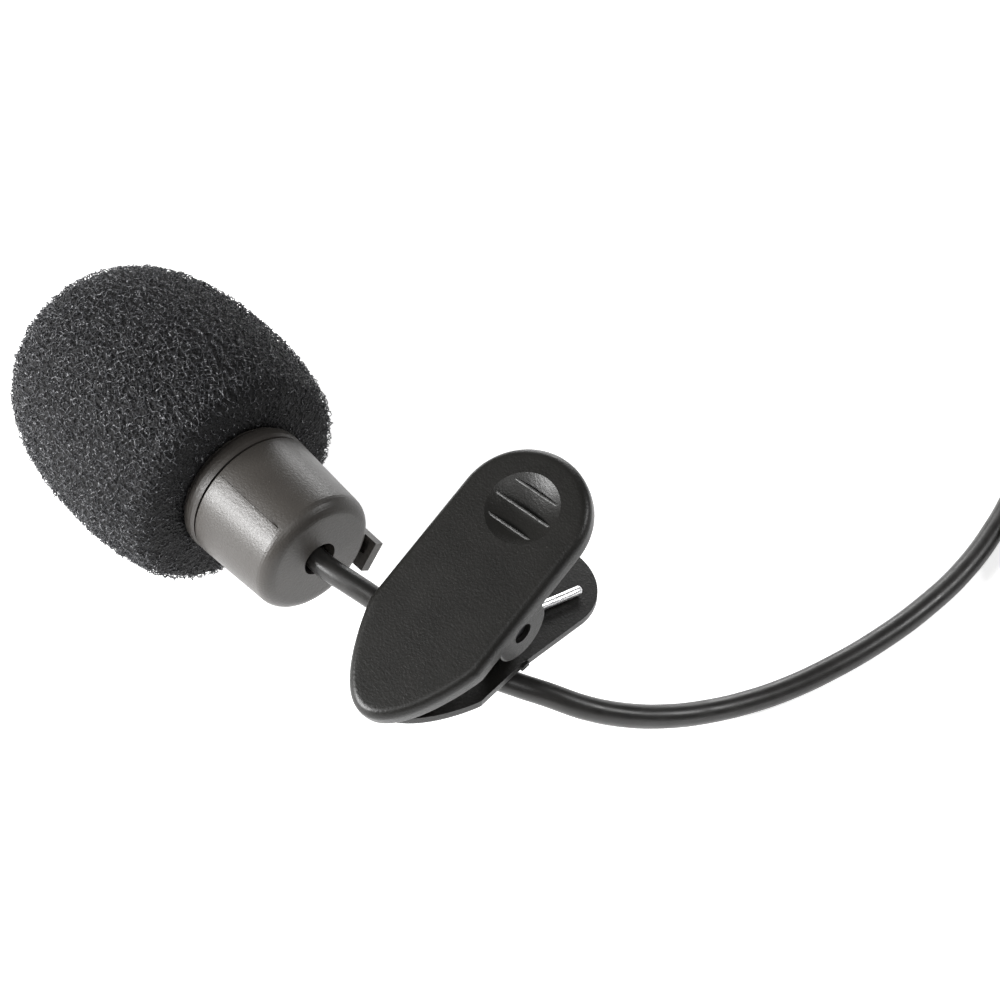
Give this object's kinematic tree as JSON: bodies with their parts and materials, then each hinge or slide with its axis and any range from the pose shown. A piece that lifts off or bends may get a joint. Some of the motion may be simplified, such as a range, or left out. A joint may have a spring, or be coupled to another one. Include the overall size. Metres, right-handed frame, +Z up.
{
  "type": "lavalier microphone",
  "caption": "Small clip-on microphone under an egg-shaped foam windscreen, with a sprung lapel clip that turns on its thin cable, a coiled lead and a 3.5 mm jack plug.",
  "frame": {"origin": "on the table under the middle of the box round the microphone and its clip, without the cable", "axes": "+X along the microphone's axis from the foam's front towards the cable, +Y towards the clip's tail, +Z up"},
  "size_m": [0.1098, 0.1044, 0.0254],
  "materials": {
    "foam": "open-cell foam",
    "shell_plastic": "satin",
    "clip_plastic": "fine matte grain",
    "black_plastic": "satin",
    "white_plastic": "satin",
    "rubber": "matte",
    "cable_jacket": "satin",
    "felt": "felt",
    "film": "thin film",
    "board": "solder mask",
    "tie": "hook-and-loop tape",
    "red_wire": "satin",
    "copper_wire": "bare strands",
    "solder": "bright",
    "aluminium": "satin",
    "brass": "satin",
    "steel": "satin",
    "dark_steel": "blackened",
    "spring_steel": "bright drawn wire",
    "plug_metal": "nickel plated"
  },
  "bodies": {
    "microphone": {"front_shell": "shell_plastic", "rear_shell": "shell_plastic", "screen_disc": "steel", "felt_disc": "felt", "capsule_boot": "rubber", "electret_can": "aluminium", "diaphragm_ring": "brass", "diaphragm": "film", "spacer_ring": "film", "back_plate": "brass", "insulator_cup": "white_plastic", "transistor": "black_plastic", "capsule_board": "board", "solder_joints": "solder", "signal_wire": "red_wire", "ground_wire": "copper_wire", "cable_stop": "steel", "cable_tail": "cable_jacket", "cable": "cable_jacket", "cable_coil": "cable_jacket", "coil_tie": "tie", "cable_end": "cable_jacket", "plug_relief": "rubber", "plug_handle": "black_plastic", "plug_sleeve": "plug_metal", "plug_insulators": "black_plastic", "plug_ring": "plug_metal", "plug_tip": "plug_metal"},
    "windscreen": {"foam_windscreen": "foam"},
    "clip_base": {"lower_jaw": "clip_plastic", "cable_holder": "clip_plastic", "hinge_pin": "dark_steel", "spring_lower": "spring_steel"},
    "clip_lever": {"top_jaw": "clip_plastic", "spring_upper": "spring_steel"}
  },
  "joints": [
    {"name": "windscreen_pull", "type": "slide", "parent": "microphone", "child": "windscreen", "axis": [-1, 0, 0], "range_m": [0, 0.03]},
    {"name": "clip_swivel", "type": "hinge", "parent": "microphone", "child": "clip_base", "pos_m": [0.02265, -0.00013, 0.01], "axis": [0.9932, 0.1162, 0], "range_deg": [-30, 120]},
    {"name": "clip_squeeze", "type": "hinge", "parent": "clip_base", "child": "clip_lever", "pos_m": [0.02297, 0.00142, 0.017], "axis": [-0.9932, -0.1162, 0], "range_deg": [0, 42], "stiffness_Nm_per_rad": 0.03, "springref_deg": -57.3}
  ]
}
